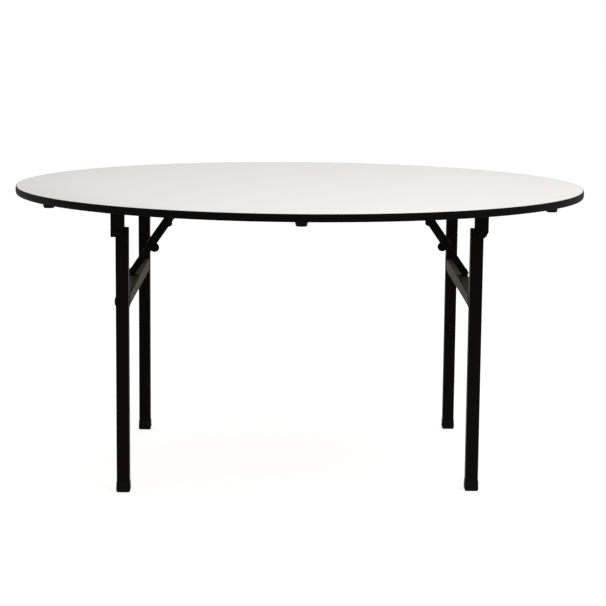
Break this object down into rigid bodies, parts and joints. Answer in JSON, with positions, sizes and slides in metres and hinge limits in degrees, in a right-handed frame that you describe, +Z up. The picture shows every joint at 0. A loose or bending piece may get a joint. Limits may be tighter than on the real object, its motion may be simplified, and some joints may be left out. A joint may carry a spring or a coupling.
{
  "type": "round folding banquet table",
  "caption": "Round folding banquet table: white laminate top with a black rounded edge band on two black square-tube folding leg frames, each held by a hinged locking brace with a spring latch",
  "frame": {"origin": "on the floor, under the middle of the tabletop", "axes": "+Z up; +X to the right in the picture, along the line between the two leg frames; +Y away from the camera, along the crossbars"},
  "size_m": [1.5, 1.4999, 0.745],
  "materials": {
    "laminate": "white high-pressure laminate, satin",
    "ply": "raw plywood",
    "backing": "sealed brown backing sheet",
    "edge_vinyl": "black vinyl, satin",
    "powder_coat": "black powder coat, satin",
    "black_plastic": "black moulded plastic",
    "black_fixings": "black coated steel",
    "zinc": "zinc plated steel"
  },
  "bodies": {
    "tabletop": {"tabletop_core": "ply", "laminate_top": "laminate", "backing_sheet": "backing", "edge_band": "edge_vinyl", "stacking_bumpers": "black_plastic", "bumper_screws": "zinc", "left_front_leg_bracket": "powder_coat", "left_rear_leg_bracket": "powder_coat", "right_front_leg_bracket": "powder_coat", "right_rear_leg_bracket": "powder_coat", "leg_bracket_screws": "zinc", "leg_pivot_bolts": "black_fixings", "leg_pivot_nuts": "black_fixings", "left_brace_bracket": "powder_coat", "right_brace_bracket": "powder_coat", "brace_bracket_screws": "zinc", "brace_top_pins": "black_fixings"},
    "left_leg_frame": {"left_front_leg": "powder_coat", "left_rear_leg": "powder_coat", "left_crossbar": "powder_coat", "left_front_foot_cap": "black_plastic", "left_rear_foot_cap": "black_plastic", "left_brace_lug": "powder_coat", "left_lug_pin": "black_fixings", "left_leg_button": "black_plastic"},
    "left_upper_arm_body": {"left_upper_arm": "powder_coat", "left_knuckle_rivets": "black_fixings"},
    "left_lower_arm_body": {"left_lower_arm": "powder_coat"},
    "left_latch": {"left_latch_leaf": "black_fixings", "left_lock_pin": "black_fixings"},
    "right_leg_frame": {"right_front_leg": "powder_coat", "right_rear_leg": "powder_coat", "right_crossbar": "powder_coat", "right_front_foot_cap": "black_plastic", "right_rear_foot_cap": "black_plastic", "right_brace_lug": "powder_coat", "right_lug_pin": "black_fixings", "right_leg_button": "black_plastic"},
    "right_upper_arm_body": {"right_upper_arm": "powder_coat", "right_knuckle_rivets": "black_fixings"},
    "right_lower_arm_body": {"right_lower_arm": "powder_coat"},
    "right_latch": {"right_latch_leaf": "black_fixings", "right_lock_pin": "black_fixings"}
  },
  "joints": [
    {"name": "left_leg_fold", "type": "hinge", "parent": "tabletop", "child": "left_leg_frame", "pos_m": [-0.448, -0.019, 0.657], "axis": [0, -1, 0], "range_deg": [0, 90]},
    {"name": "left_upper_arm_fold", "type": "hinge", "parent": "tabletop", "child": "left_upper_arm_body", "pos_m": [-0.30839, -0.019, 0.71], "axis": [0, 1, 0], "range_deg": [0, 37]},
    {"name": "left_lower_arm_fold", "type": "hinge", "parent": "left_leg_frame", "child": "left_lower_arm_body", "pos_m": [-0.446, -0.019, 0.512], "axis": [0, -1, 0], "range_deg": [0, 29]},
    {"name": "left_latch_pull", "type": "hinge", "parent": "left_upper_arm_body", "child": "left_latch", "pos_m": [-0.34193, -0.0323, 0.6486], "axis": [-0.8211, 0, 0.5707], "range_deg": [0, 3], "stiffness_Nm_per_rad": 2},
    {"name": "right_leg_fold", "type": "hinge", "parent": "tabletop", "child": "right_leg_frame", "pos_m": [0.448, 0.019, 0.657], "axis": [0, 1, 0], "range_deg": [0, 90]},
    {"name": "right_upper_arm_fold", "type": "hinge", "parent": "tabletop", "child": "right_upper_arm_body", "pos_m": [0.30839, 0.019, 0.71], "axis": [0, -1, 0], "range_deg": [0, 37]},
    {"name": "right_lower_arm_fold", "type": "hinge", "parent": "right_leg_frame", "child": "right_lower_arm_body", "pos_m": [0.446, 0.019, 0.512], "axis": [0, 1, 0], "range_deg": [0, 29]},
    {"name": "right_latch_pull", "type": "hinge", "parent": "right_upper_arm_body", "child": "right_latch", "pos_m": [0.34193, 0.0323, 0.6486], "axis": [0.8211, 0, 0.5707], "range_deg": [0, 3], "stiffness_Nm_per_rad": 2}
  ],
  "couplings": [
    {"joint": "left_upper_arm_fold", "follows": "left_leg_fold", "ratio": 0.4099},
    {"joint": "left_lower_arm_fold", "follows": "left_leg_fold", "ratio": 0.31721},
    {"joint": "right_upper_arm_fold", "follows": "right_leg_fold", "ratio": 0.4099},
    {"joint": "right_lower_arm_fold", "follows": "right_leg_fold", "ratio": 0.31721}
  ]
}
